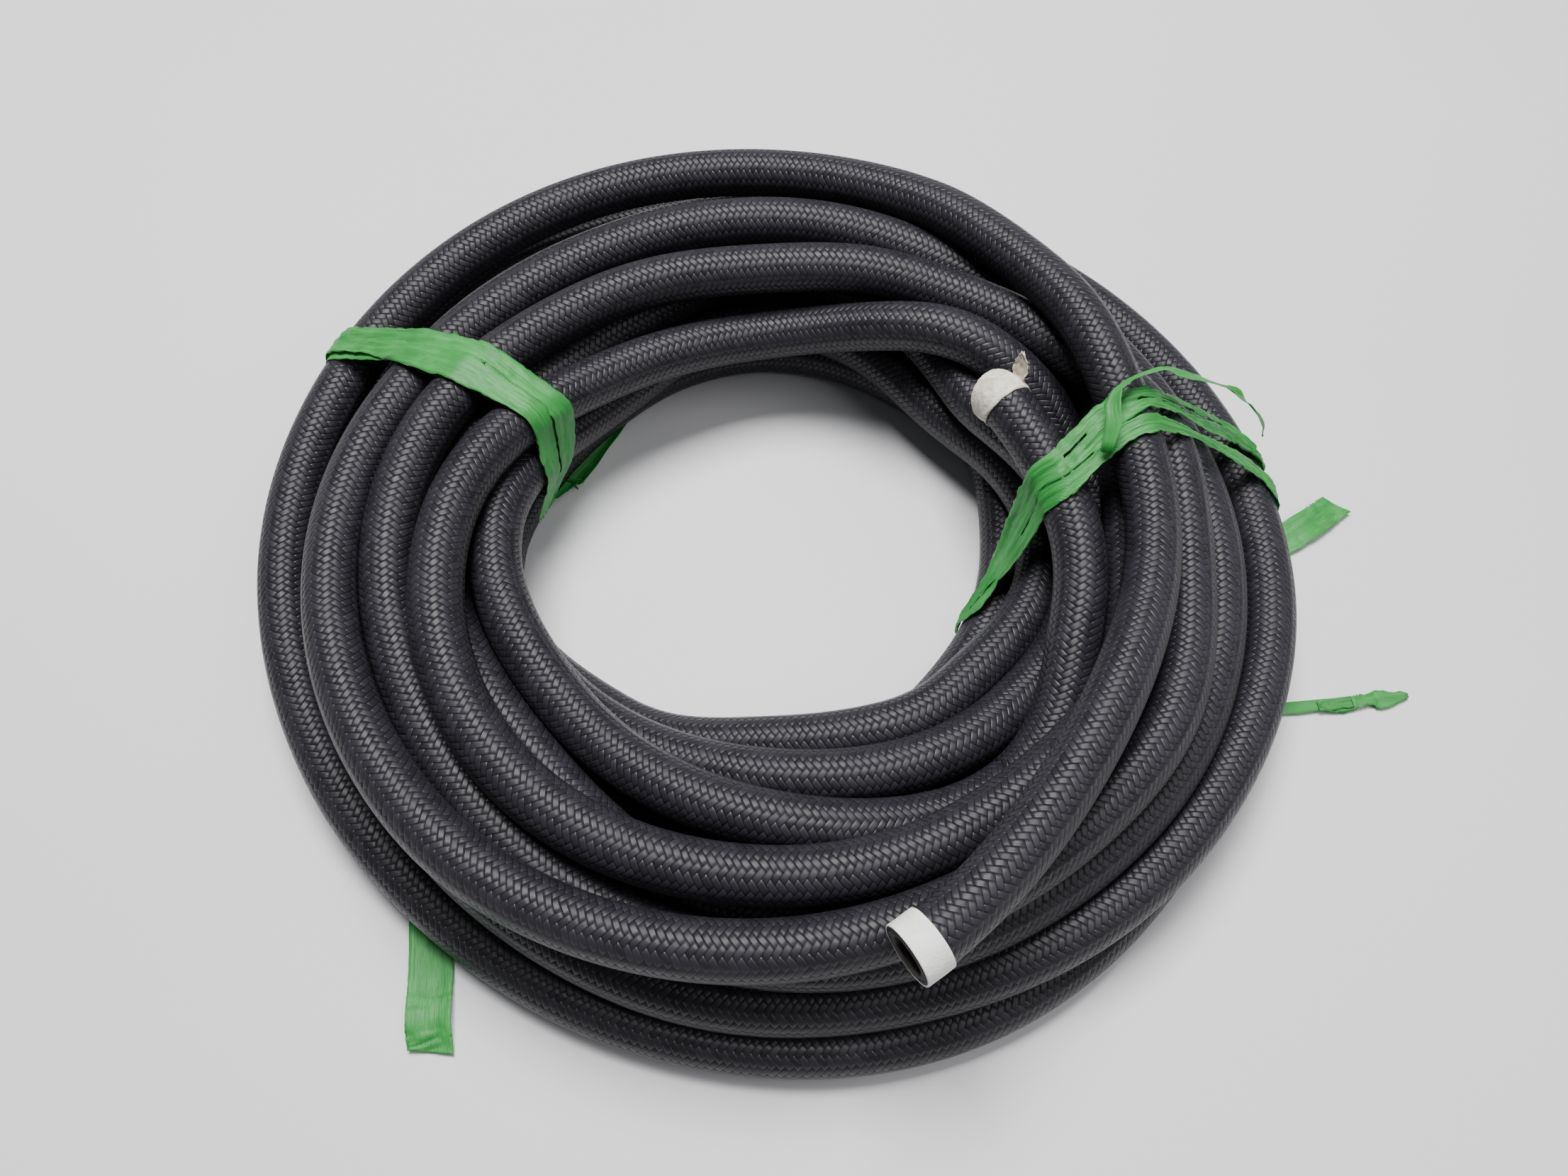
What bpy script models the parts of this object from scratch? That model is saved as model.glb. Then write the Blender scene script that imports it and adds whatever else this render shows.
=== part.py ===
"""Bulk coil of nylon-braided rubber hose, tied at two places with plastic ribbon.

The hose lies in about thirteen turns on the floor. The turns that lie packed together are one
solid ring, with the bundle's outer shape. The first turn rides on top of the bundle and the last
one comes up inside it, and each of them ends free, cut square and taped. Frame: +Z up, the floor
at z = 0, the taped outer end towards -Y, the right-hand tie towards +X. Units are metres; lengths
along the bundle are written in hose diameters and angles in degrees, anticlockwise from +X.
"""

import math

import bmesh
import bpy
from mathutils import Matrix, Vector

# ---------------------------------------------------------------- driving sizes
HOSE_OD = 0.0175            # braided cover, outside
COVER_ID = 0.0159           # where the braid meets the rubber tube
LINER_OD = 0.0153
BORE = 0.0114
GAP = 0.0003                # between faces that touch
TIE_GAP = 0.0006            # between the bundle and the ribbon round it
FILM = 0.0006               # ribbon, as it lies folded
TAPE_LENGTH = 0.0085
TAPE_WALL = 0.0006
SQUARE_LENGTH = 0.002       # straight stretch at each face where a hose is divided
COIL_CENTRE = (-0.0224, 0.0023)     # puts the whole object's box over the origin

TUBE_SIDES = 16
OUTLINE_POINTS = 26
RING_STEP = 6.0             # degrees between the ring's sections
TUBE_STEP = 6.0             # degrees between the points of a hose run

# ---------------------------------------------------------------- the bundle
# Hose centres that bound the packed turns: station angle, then (radius, height) in diameters.
BUNDLE = [
    (0.0, [(4.7, 0.5), (9.3, 0.5), (9.9, 1.4), (7.7, 2.75), (6.0, 2.0)]),
    (15.0, [(5.0, 0.5), (9.1, 0.5), (9.8, 1.4), (7.4, 2.9), (5.5, 2.25)]),
    (30.0, [(5.4, 0.5), (8.8, 0.5), (9.6, 1.4), (7.0, 2.95), (5.1, 1.8), (5.0, 1.4)]),
    (60.0, [(5.5, 0.5), (8.3, 0.5), (9.1, 1.1), (7.1, 2.65), (6.1, 3.1), (5.1, 3.0)]),
    (81.0, [(5.6, 0.5), (8.0, 0.5), (9.0, 0.7), (8.2, 1.7), (7.1, 2.8), (5.8, 3.2), (5.0, 2.4)]),
    (85.0, [(5.7, 0.5), (7.8, 0.5), (8.9, 0.6), (8.6, 2.9), (5.7, 3.2), (4.9, 2.1)]),
    (120.0, [(5.6, 0.5), (8.9, 0.5), (9.3, 2.5), (5.9, 3.2), (4.7, 2.3)]),
    (150.0, [(5.5, 0.5), (9.0, 0.5), (9.6, 2.2), (7.7, 2.8), (6.5, 3.2), (5.1, 2.8), (5.0, 1.8)]),
    (180.0, [(5.7, 0.5), (8.9, 0.5), (9.6, 1.6), (8.1, 2.9), (5.9, 3.3), (5.3, 2.4)]),
    (210.0, [(5.1, 0.5), (8.4, 0.5), (9.3, 0.9), (8.3, 2.9), (6.6, 3.3), (5.2, 2.3), (4.8, 1.4)]),
    (240.0, [(4.3, 0.5), (9.0, 0.5), (8.2, 3.0), (6.8, 3.0), (5.3, 2.3), (4.6, 1.6)]),
    (270.0, [(4.8, 0.5), (9.2, 0.5), (8.0, 3.1), (6.8, 2.9), (4.8, 1.9), (4.0, 1.2)]),
    (300.0, [(4.3, 0.5), (9.4, 0.5), (8.9, 1.4), (7.8, 2.9), (6.8, 2.9), (4.3, 1.5)]),
    (330.0, [(4.3, 0.5), (9.4, 0.5), (9.4, 1.5), (7.9, 2.7), (7.0, 2.75), (4.7, 1.4)]),
    (350.0, [(4.6, 0.5), (9.4, 0.5), (9.8, 1.4), (7.8, 2.65), (6.9, 2.4), (5.6, 1.6)]),
]

# Centre line of each riding end: angle, radius and height, from the bundle to the cut end.
OUTER_ROUTE = [
    (444, 8.60, 3.00), (435, 8.25, 3.25), (420, 7.75, 3.65), (405, 7.25, 3.90), (390, 6.90, 4.10),
    (375, 6.80, 3.92), (360, 6.85, 3.68), (345, 6.85, 3.70), (330, 6.90, 3.88), (315, 7.10, 3.96),
    (300, 7.62, 4.05), (283.5, 8.46, 4.10),
]
INNER_ROUTE = [(351, 5.76, 3.05), (360, 5.50, 3.14), (369, 5.25, 3.26), (380, 5.07, 3.22), (391, 5.00, 3.10)]
OUTER_RUN_ANGLE = 440.5     # where each riding hose leaves the bundle
INNER_RUN_ANGLE = 351.0
OUTER_FREE_ANGLE = 360.0    # beyond the right-hand tie the first turn is free
INNER_FREE_ANGLE = 371.0
OUTER_END_ANGLE = 283.5
INNER_END_ANGLE = 391.0

RUBBER = ("hose_rubber", (0.030, 0.027, 0.026), 0.85)
BRAID = ("hose_braid", (0.022, 0.021, 0.025), 0.62)
RIBBON = ("ribbon_film", (0.10, 0.42, 0.13), 0.45)
TAPE = ("end_tape", (0.72, 0.69, 0.62), 0.75)


def clear_scene():
    for thing in list(bpy.data.objects):
        bpy.data.objects.remove(thing, do_unlink=True)


def material(spec):
    """One Principled material per kind of surface, made once and shared."""
    name, colour, roughness = spec
    found = bpy.data.materials.get(name)
    if found:
        return found
    made = bpy.data.materials.new(name)
    made.use_nodes = True
    shader = made.node_tree.nodes["Principled BSDF"]
    shader.inputs["Base Color"].default_value = (*colour, 1.0)
    shader.inputs["Roughness"].default_value = roughness
    shader.inputs["Metallic"].default_value = 0.0
    return made


def empty(name, location, parent=None):
    holder = bpy.data.objects.new(name, None)
    holder.location = location
    holder.parent = parent
    bpy.context.collection.objects.link(holder)
    return holder


def mesh_object(name, verts, faces, spec, parent, smooth=True):
    """A closed mesh in the coil's own coordinates, hung under its body's empty."""
    origin = Vector(parent.location) if parent.parent else Vector()
    mesh = bpy.data.meshes.new(name)
    mesh.from_pydata([tuple(Vector(v) - origin) for v in verts], [], faces)
    work = bmesh.new()
    work.from_mesh(mesh)
    bmesh.ops.recalc_face_normals(work, faces=work.faces)
    work.to_mesh(mesh)
    work.free()
    mesh.materials.append(material(spec))
    if smooth:
        mesh.shade_smooth()
        mesh.set_sharp_from_angle(angle=math.radians(40.0))
    made = bpy.data.objects.new(name, mesh)
    made.parent = parent
    bpy.context.collection.objects.link(made)
    return made


# ---------------------------------------------------------------- outline of the bundle
def outline_normals():
    """Directions of the outline's points, from the outer foot over the top to the inner foot."""
    first = -89.9
    step = (269.9 - first) / (OUTLINE_POINTS - 1)
    return [first + step * k for k in range(OUTLINE_POINTS)]


def support(centres, normal, grow):
    """The point of the taut line round hoses at these centres that faces one direction."""
    across = math.cos(math.radians(normal))
    up = math.sin(math.radians(normal))
    r, z = max(centres, key=lambda c: c[0] * across + c[1] * up)
    reach = 0.5 + grow / HOSE_OD
    return r + reach * across, z + reach * up


def bundle_point(angle, normal, grow=0.0):
    """(radius, height) in diameters on the bundle's surface, grown by a gap in metres."""
    turn = angle % 360.0
    after = next((k for k, s in enumerate(BUNDLE) if s[0] > turn), len(BUNDLE))
    low_angle, low = BUNDLE[after - 1]
    high_angle, high = BUNDLE[after % len(BUNDLE)]
    if after == len(BUNDLE):
        high_angle += 360.0
    t = (turn - low_angle) / (high_angle - low_angle)
    t = t * t * (3.0 - 2.0 * t)
    a = support(low, normal, grow)
    b = support(high, normal, grow)
    return a[0] + (b[0] - a[0]) * t, a[1] + (b[1] - a[1]) * t


def route_at(route, angle):
    """(radius, height) of a riding hose at an angle, by a smooth curve through its stops."""
    stops = sorted(route)
    last = len(stops) - 2
    k = next((i for i in range(last + 1) if stops[i + 1][0] >= angle), last)
    a0, a1 = stops[k][0], stops[k + 1][0]
    t = (angle - a0) / (a1 - a0)
    result = []
    for axis in (1, 2):
        before = stops[max(k - 1, 0)]
        beyond = stops[min(k + 2, last + 1)]
        slope0 = (stops[k + 1][axis] - before[axis]) / (a1 - before[0])
        slope1 = (beyond[axis] - stops[k][axis]) / (beyond[0] - a0)
        span = a1 - a0
        result.append(
            stops[k][axis] * (2 * t**3 - 3 * t**2 + 1)
            + slope0 * span * (t**3 - 2 * t**2 + t)
            + stops[k + 1][axis] * (3 * t**2 - 2 * t**3)
            + slope1 * span * (t**3 - t**2)
        )
    return tuple(result)


def tied_point(angle, normal, grow):
    """As bundle_point, but drawn taut over the two riding hoses as well."""
    across = math.cos(math.radians(normal))
    up = math.sin(math.radians(normal))
    best = bundle_point(angle, normal, grow)
    for route in (OUTER_ROUTE, INNER_ROUTE):
        turned = angle % 360.0 + (360.0 if angle % 360.0 < 200.0 else 0.0)
        angles = [stop[0] for stop in route]
        if min(angles) <= turned <= max(angles):
            centre = route_at(route, turned)
            rider = support([centre], normal, grow)
            if rider[0] * across + rider[1] * up > best[0] * across + best[1] * up:
                best = rider
    return best


def at_angle(angle, radius, height):
    """Coil coordinates in metres of a point given by angle, radius and height in diameters."""
    turn = math.radians(angle)
    return Vector((radius * math.cos(turn), radius * math.sin(turn), height)) * HOSE_OD


# ---------------------------------------------------------------- hose
def build_coil(root):
    """The packed turns, as one closed ring with the bundle's outer shape."""
    normals = outline_normals()
    angles = [k * RING_STEP for k in range(round(360.0 / RING_STEP))]
    angles = sorted(set(angles) | {81.0, 85.0})
    verts = [at_angle(a, *bundle_point(a, n)) for a in angles for n in normals]
    around = len(normals)
    faces = []
    for i in range(len(angles)):
        ahead = (i + 1) % len(angles)
        for k in range(around):
            beside = (k + 1) % around
            faces.append((
                i * around + k, ahead * around + k, ahead * around + beside, i * around + beside,
            ))
    return mesh_object("hose_coil", verts, faces, BRAID, root)


def centre_line(route, start, end):
    """Points every few degrees along a riding hose, from the bundle towards its cut end."""
    count = max(2, round(abs(end - start) / TUBE_STEP))
    angles = [start + (end - start) * k / count for k in range(count + 1)]
    return [at_angle(a, *route_at(route, a)) for a in angles]


def split_route(route, start, joint, end):
    """The held and the free stretch of a riding hose, square to it where they face each other."""
    held = centre_line(route, start, joint)
    free = centre_line(route, joint, end)
    ahead = (free[1] - held[-2]).normalized()
    held.insert(-1, held[-1] - ahead * SQUARE_LENGTH)
    first = free[0] + ahead * 2.0 * GAP
    return held, [first, first + ahead * SQUARE_LENGTH] + free[1:]


def build_run(name, points, root):
    """A hose run that the tie holds down: a round bar along its centre line."""
    curve = bpy.data.curves.new(name, "CURVE")
    curve.dimensions = "3D"
    curve.bevel_depth = HOSE_OD / 2.0
    curve.bevel_resolution = 3
    curve.use_fill_caps = True
    spline = curve.splines.new("POLY")
    spline.points.add(len(points) - 1)
    for slot, point in zip(spline.points, points):
        slot.co = (*point, 1.0)
    curve.materials.append(material(BRAID))
    made = bpy.data.objects.new(name, curve)
    made.parent = root
    bpy.context.collection.objects.link(made)
    return made


def frames(points):
    """At each point: the point, its sideways direction and its upward direction."""
    result = []
    for k, point in enumerate(points):
        ahead = points[min(k + 1, len(points) - 1)] - points[max(k - 1, 0)]
        ahead.normalize()
        side = ahead.cross(Vector((0, 0, 1))).normalized()
        result.append((point, side, side.cross(ahead)))
    return result


def sleeve(name, points, outer, inner, spec, parent):
    """An open pipe along a line, with flat ring faces at both ends."""
    verts = []
    for point, side, up in frames(points):
        for radius in (outer / 2.0, inner / 2.0):
            for k in range(TUBE_SIDES):
                turn = 2.0 * math.pi * k / TUBE_SIDES
                verts.append(point + radius * (math.cos(turn) * side + math.sin(turn) * up))
    ring = 2 * TUBE_SIDES
    last = (len(points) - 1) * ring
    faces = []
    for k in range(TUBE_SIDES):
        beside = (k + 1) % TUBE_SIDES
        for i in range(0, last, ring):
            faces.append((i + k, i + beside, i + ring + beside, i + ring + k))
            a, b = i + TUBE_SIDES + k, i + TUBE_SIDES + beside
            faces.append((b, a, a + ring, b + ring))
        faces.append((k, k + TUBE_SIDES, beside + TUBE_SIDES, beside))
        faces.append((last + k, last + beside, last + beside + TUBE_SIDES, last + k + TUBE_SIDES))
    return mesh_object(name, verts, faces, spec, parent)


def tape_line(points):
    """The last stretch of a hose end, as long as its tape, on the same frames as the hose."""
    tangent = (points[-1] - points[-2]).normalized()
    return [points[-1] - tangent * TAPE_LENGTH, points[-1] + tangent * GAP]


def with_straight_end(points):
    """The hose under the tape is straight, so its last stretch is one straight piece."""
    tangent = (points[-1] - points[-2]).normalized()
    return points[:-1] + [points[-1] - tangent * (TAPE_LENGTH + GAP), points[-1]]


def build_end(prefix, points, parent):
    """One free hose end: braid cover, rubber tube with its bore, and the tape round the cut."""
    points = with_straight_end(points)
    sleeve(prefix + "_cover", points, HOSE_OD, COVER_ID, BRAID, parent)
    sleeve(prefix + "_liner", points, LINER_OD, BORE, RUBBER, parent)
    inside = HOSE_OD + 2.0 * GAP
    sleeve(prefix + "_tape", tape_line(points), inside + 2.0 * TAPE_WALL, inside, TAPE, parent)


# ---------------------------------------------------------------- ribbon
FLOOR_CLEAR = 0.0003        # underside of the ribbon over the floor
SLOT_HEIGHT = 0.0014        # how far the bundle's underside stays up over a ribbon


def film_solid(name, rows, parent):
    """A closed strip from rows of (left below, right below, left above, right above) points."""
    verts = [v for row in rows for v in row]
    faces = []
    for i in range(0, (len(rows) - 1) * 4, 4):
        faces.append((i, i + 1, i + 5, i + 4))
        faces.append((i + 2, i + 6, i + 7, i + 3))
        faces.append((i, i + 4, i + 6, i + 2))
        faces.append((i + 1, i + 3, i + 7, i + 5))
    end = (len(rows) - 1) * 4
    faces.append((0, 2, 3, 1))
    faces.append((end, end + 1, end + 3, end + 2))
    return mesh_object(name, verts, faces, RIBBON, parent, smooth=False)


def wrapped_strip(name, stops, parent, lift=TIE_GAP, surface=tied_point):
    """Ribbon drawn over the bundle.

    stops: (outline direction, first angle, last angle), from one end of the strip to the other.
    Every outline direction between the two ends gets a row, so the strip follows the bundle.
    """
    first, last = stops[0][0], stops[-1][0]
    low, high = min(first, last), max(first, last)
    normals = sorted({first, last} | {n for n in outline_normals() if low < n < high})
    ordered = sorted(stops)
    rows = []
    for normal in normals:
        k = max(i for i, s in enumerate(ordered) if s[0] <= normal)
        k = min(k, len(ordered) - 2)
        a, b = ordered[k], ordered[k + 1]
        t = (normal - a[0]) / (b[0] - a[0])
        row = []
        for grow, floor in ((lift, FLOOR_CLEAR + FILM), (lift + FILM, FLOOR_CLEAR)):
            for edge in (1, 2):
                angle = a[edge] + (b[edge] - a[edge]) * t
                point = at_angle(angle, *surface(angle, normal, grow))
                point.z = max(point.z, floor)
                row.append(point)
        rows.append(row)
    return film_solid(name, rows, parent)


def closed_wrap(name, angle, width, parent):
    """Ribbon right round the bundle at one angle, in a closed loop."""
    half = math.degrees(width / 2.0 / 7.0)
    verts = []
    for normal in outline_normals():
        for grow, floor in ((TIE_GAP, FLOOR_CLEAR + FILM), (TIE_GAP + FILM, FLOOR_CLEAR)):
            for edge in (angle - half, angle + half):
                point = at_angle(edge, *bundle_point(edge, normal, grow))
                point.z = max(point.z, floor)
                verts.append(point)
    faces = []
    for k in range(OUTLINE_POINTS):
        i, j = 4 * k, 4 * ((k + 1) % OUTLINE_POINTS)
        faces.append((i, i + 1, j + 1, j))
        faces.append((i + 2, j + 2, j + 3, i + 3))
        faces.append((i, j, j + 2, i + 2))
        faces.append((i + 1, i + 3, j + 3, j + 1))
    return mesh_object(name, verts, faces, RIBBON, parent, smooth=False)


def flat_strip(name, middle, widths, parent, bottom=FLOOR_CLEAR):
    """Ribbon lying on the floor along a line of (x, y) points in diameters."""
    rows = []
    for k, (point, width) in enumerate(zip(middle, widths)):
        here = Vector((*point, 0.0)) * HOSE_OD
        ahead = Vector((*middle[min(k + 1, len(middle) - 1)], 0.0))
        ahead -= Vector((*middle[max(k - 1, 0)], 0.0))
        side = Vector((-ahead.y, ahead.x, 0.0)).normalized() * (width * HOSE_OD / 2.0)
        row = []
        for height in (bottom, bottom + FILM):
            for edge in (side, -side):
                row.append(here + edge + Vector((0, 0, height)))
        rows.append(row)
    return film_solid(name, rows, parent)


def standing_strip(name, middle, width, parent):
    """Narrow torn strip through the air along (x, y, z) points in diameters, its flat side up."""
    points = [Vector(p) * HOSE_OD for p in middle]
    rows = []
    for point, side, up in frames(points):
        edge = side * (width * HOSE_OD / 2.0)
        rows.append([point - edge, point + edge, point - edge + up * FILM, point + edge + up * FILM])
    return film_solid(name, rows, parent)


def cut_slot(coil, name, start, end, width):
    """Room under the bundle for a ribbon that lies on the floor from start to end."""
    a, b = (Vector((*p, 0.0)) * HOSE_OD for p in (start, end))
    along = b - a
    mesh = bpy.data.meshes.new(name)
    work = bmesh.new()
    bmesh.ops.create_cube(work, size=1.0)
    work.to_mesh(mesh)
    work.free()
    cutter = bpy.data.objects.new(name, mesh)
    turn = math.atan2(along.y, along.x)
    centre = (a + b) / 2.0
    cutter.matrix_basis = (
        Matrix.Translation(centre)
        @ Matrix.Rotation(turn, 4, "Z")
        @ Matrix.Diagonal((along.length, width * HOSE_OD, 2.0 * SLOT_HEIGHT, 1.0))
    )
    cutter.parent = coil.parent
    cutter.hide_render = True
    cutter.display_type = "WIRE"
    bpy.context.collection.objects.link(cutter)
    cut = coil.modifiers.new(name, "BOOLEAN")
    cut.operation = "DIFFERENCE"
    cut.solver = "EXACT"
    cut.object = cutter


LEFT_TIE_ANGLE = 157.0
LEFT_TIE_WIDTH = 0.9
LONG_TAIL_LINE = [(-7.42, 2.35), (-6.10, -7.95), (-5.93, -9.25)]    # under the coil, out in front
LONG_TAIL_WIDTH = 0.75
RIGHT_FEET = [(3.30, -1.45), (10.85, 0.95)]
RIGHT_UNDER_WIDTH = 0.6
THIN_TAIL_LINE = [(4.60, -3.35), (10.25, -2.78), (12.65, -2.54)]


def on_line(start, end, fraction):
    return tuple(a + (b - a) * fraction for a, b in zip(start, end))


def build_left_tie(coil, root):
    """Two layers of ribbon at the left, a tail inside and a long tail under the coil."""
    closed_wrap("tie_left_wrap", LEFT_TIE_ANGLE, LEFT_TIE_WIDTH, root)
    upper = [
        (-50.0, 152.0, 157.0), (20.0, 151.0, 157.5), (90.0, 151.5, 160.0), (150.0, 151.0, 162.5),
        (200.0, 153.5, 165.0), (228.0, 157.5, 167.0),
    ]
    wrapped_strip("tie_left_outer_layer", upper, root, lift=2.0 * TIE_GAP + FILM)
    cut_slot(coil, "slot_left_tie", on_line((0, 0), (-9.6, 4.07), 0.30), (-10.2, 4.33), 1.45)
    flat_strip(
        "tie_left_tail_inside",
        [(-4.40, 2.35), (-4.02, 2.95), (-3.62, 3.60), (-3.40, 4.00)],
        [0.25, 0.50, 0.40, 0.10],
        root,
    )
    start, root_end, tip = LONG_TAIL_LINE
    flat_strip("tie_left_tail_under", [start, root_end], [LONG_TAIL_WIDTH] * 2, root)
    cut_slot(coil, "slot_long_tail", on_line(start, tip, -0.02), tip, LONG_TAIL_WIDTH + 0.12)
    return tail_body("front_tail", root_end, tip, LONG_TAIL_WIDTH, "tie_left_tail_front", root)


def tail_body(body, root_end, tip, width, name, root):
    """The part of a ribbon tail that can be lifted off the floor, on its own hinge empty."""
    pivot = Vector((*root_end, 0.0)) * HOSE_OD
    pivot.z = FLOOR_CLEAR + FILM
    holder = empty(body + "_hinge", pivot, root)
    clear = 2.0 * GAP / HOSE_OD
    length = math.dist(root_end, tip)
    start = on_line(root_end, tip, clear / length)
    middle = [start, on_line(root_end, tip, 0.6), tip]
    flat_strip(name, middle, [width, width, width * 0.9], holder)
    return holder


def build_right_tie(coil, root):
    """A wide band up from the inside that parts into two arms over the riding turn."""
    band = [
        (258.0, 339.5, 343.5), (200.0, 342.5, 350.0), (160.0, 350.0, 361.5), (130.0, 358.0, 368.8),
        (104.0, 366.6, 375.2),
    ]
    wrapped_strip("tie_right_band", band, root)
    rear = [(-46.0, 370.6, 373.4), (0.0, 371.2, 374.2), (48.0, 372.2, 375.6), (101.0, 371.2, 375.4)]
    front = [(-46.0, 365.0, 367.6), (0.0, 366.4, 369.2), (48.0, 368.2, 370.8), (101.0, 366.8, 370.6)]
    wrapped_strip("tie_right_rear_arm", rear, root)
    wrapped_strip("tie_right_front_arm", front, root)
    inner_foot, outer_foot = RIGHT_FEET
    ends = [on_line(inner_foot, outer_foot, f) for f in (0.19, 0.945)]
    flat_strip("tie_right_under", ends, [RIGHT_UNDER_WIDTH] * 2, root)
    cut_slot(coil, "slot_right_tie", inner_foot, on_line(inner_foot, outer_foot, 1.02), 1.6)
    standing_strip(
        "tie_right_loop",
        [
            (6.10, 0.95, 4.42), (6.12, 1.35, 4.55), (6.35, 1.72, 4.66), (6.85, 1.98, 4.62),
            (7.55, 2.18, 4.30), (8.45, 2.36, 3.75), (9.20, 2.34, 3.20), (9.65, 2.18, 2.65),
        ],
        0.2,
        root,
    )
    start, root_end, tip = THIN_TAIL_LINE
    flat_strip("tie_right_thin_under", [start, root_end], [0.28, 0.28], root)
    cut_slot(coil, "slot_thin_tail", on_line(start, tip, -0.02), tip, 0.42)
    tail_body("thin_tail", root_end, tip, 0.28, "tie_right_thin_tail", root)
    tail_body("wide_tail", (10.46, 0.86), (12.20, 1.95), 0.5, "tie_right_wide_tail", root)


# ---------------------------------------------------------------- assembly
def build_tape_tag(points, parent):
    """The torn corner of the inner end's tape that stands up off the hose."""
    tangent = (points[-1] - points[-2]).normalized()
    side = tangent.cross(Vector((0, 0, 1))).normalized()
    up = side.cross(tangent)
    base = points[-1] - tangent * (0.55 * TAPE_LENGTH)
    reach = HOSE_OD / 2.0 + 3.0 * GAP + TAPE_WALL
    foot = base + (0.75 * side + 0.66 * up) * reach
    lean = (0.35 * side + 0.94 * up).normalized()
    rows = []
    for height, half in ((0.0, 0.0030), (0.0040, 0.0026), (0.0085, 0.0008)):
        middle = foot + lean * height
        across = tangent * half
        thick = lean.cross(tangent).normalized() * (TAPE_WALL / 2.0)
        rows.append([
            middle - across - thick, middle + across - thick,
            middle - across + thick, middle + across + thick,
        ])
    tag = film_solid("inner_tape_tag", rows, parent)
    tag.data.materials[0] = material(TAPE)


def top_of(route, angle):
    """Crown of a riding hose at an angle: a lifted end turns about it, clear of its neighbour."""
    radius, height = route_at(route, angle)
    return at_angle(angle, radius, height + 0.5)


def main():
    clear_scene()
    root = empty("hose_assembly", (*COIL_CENTRE, 0.0))
    coil = build_coil(root)

    held, free = split_route(OUTER_ROUTE, OUTER_RUN_ANGLE, OUTER_FREE_ANGLE, OUTER_END_ANGLE)
    build_run("outer_run", held, root)
    hinge = empty("outer_end_hinge", top_of(OUTER_ROUTE, OUTER_FREE_ANGLE), root)
    build_end("outer_end", free, hinge)

    held, free = split_route(INNER_ROUTE, INNER_RUN_ANGLE, INNER_FREE_ANGLE, INNER_END_ANGLE)
    build_run("inner_run", held, root)
    hinge = empty("inner_end_hinge", top_of(INNER_ROUTE, INNER_FREE_ANGLE), root)
    build_end("inner_end", free, hinge)
    build_tape_tag(free, hinge)

    build_left_tie(coil, root)
    build_right_tie(coil, root)


main()
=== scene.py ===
"""A tied coil of nylon-braided hose on a pale floor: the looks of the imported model.

Lengths inside the coil are in hose diameters (D), angles in degrees anticlockwise from +X about the
coil's own centre; everything is turned into metres in the part's frame when a mesh is made.
"""
import math

import bpy
import numpy as np
from mathutils import Euler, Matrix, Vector, noise


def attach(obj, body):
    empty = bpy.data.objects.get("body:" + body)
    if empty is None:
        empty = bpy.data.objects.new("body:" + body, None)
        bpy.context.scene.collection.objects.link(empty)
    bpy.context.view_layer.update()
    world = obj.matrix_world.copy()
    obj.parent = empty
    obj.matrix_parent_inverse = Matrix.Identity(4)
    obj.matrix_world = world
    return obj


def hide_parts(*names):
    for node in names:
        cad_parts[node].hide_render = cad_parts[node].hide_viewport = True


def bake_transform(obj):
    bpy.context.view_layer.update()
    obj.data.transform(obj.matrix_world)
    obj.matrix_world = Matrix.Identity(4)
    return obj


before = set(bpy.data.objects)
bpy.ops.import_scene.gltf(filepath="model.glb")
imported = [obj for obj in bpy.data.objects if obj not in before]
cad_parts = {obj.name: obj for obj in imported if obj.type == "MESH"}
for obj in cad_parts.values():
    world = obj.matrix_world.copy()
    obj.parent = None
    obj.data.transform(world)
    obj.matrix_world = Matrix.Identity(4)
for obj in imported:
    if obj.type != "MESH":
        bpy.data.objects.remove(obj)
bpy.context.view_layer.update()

# ---------------------------------------------------------------- sizes, as in the CAD model
D = 0.0175
COIL_CENTRE = np.array([-0.0224, 0.0023, 0.0])
BORE = 0.0114
TAPE_LENGTH = 0.0085
FILM = 0.00016

ROUTE_STEP = 5.0            # degrees between the points of the settled route
START_ANGLE = 283.5
OUTER_SEAM = 369.0          # route angles where the free ends join the coiled hose: the outer
INNER_SEAM = 4990.0         # one is under the right-hand tie, the inner one is under no tie
LEFT_TIE = 157.0

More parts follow.
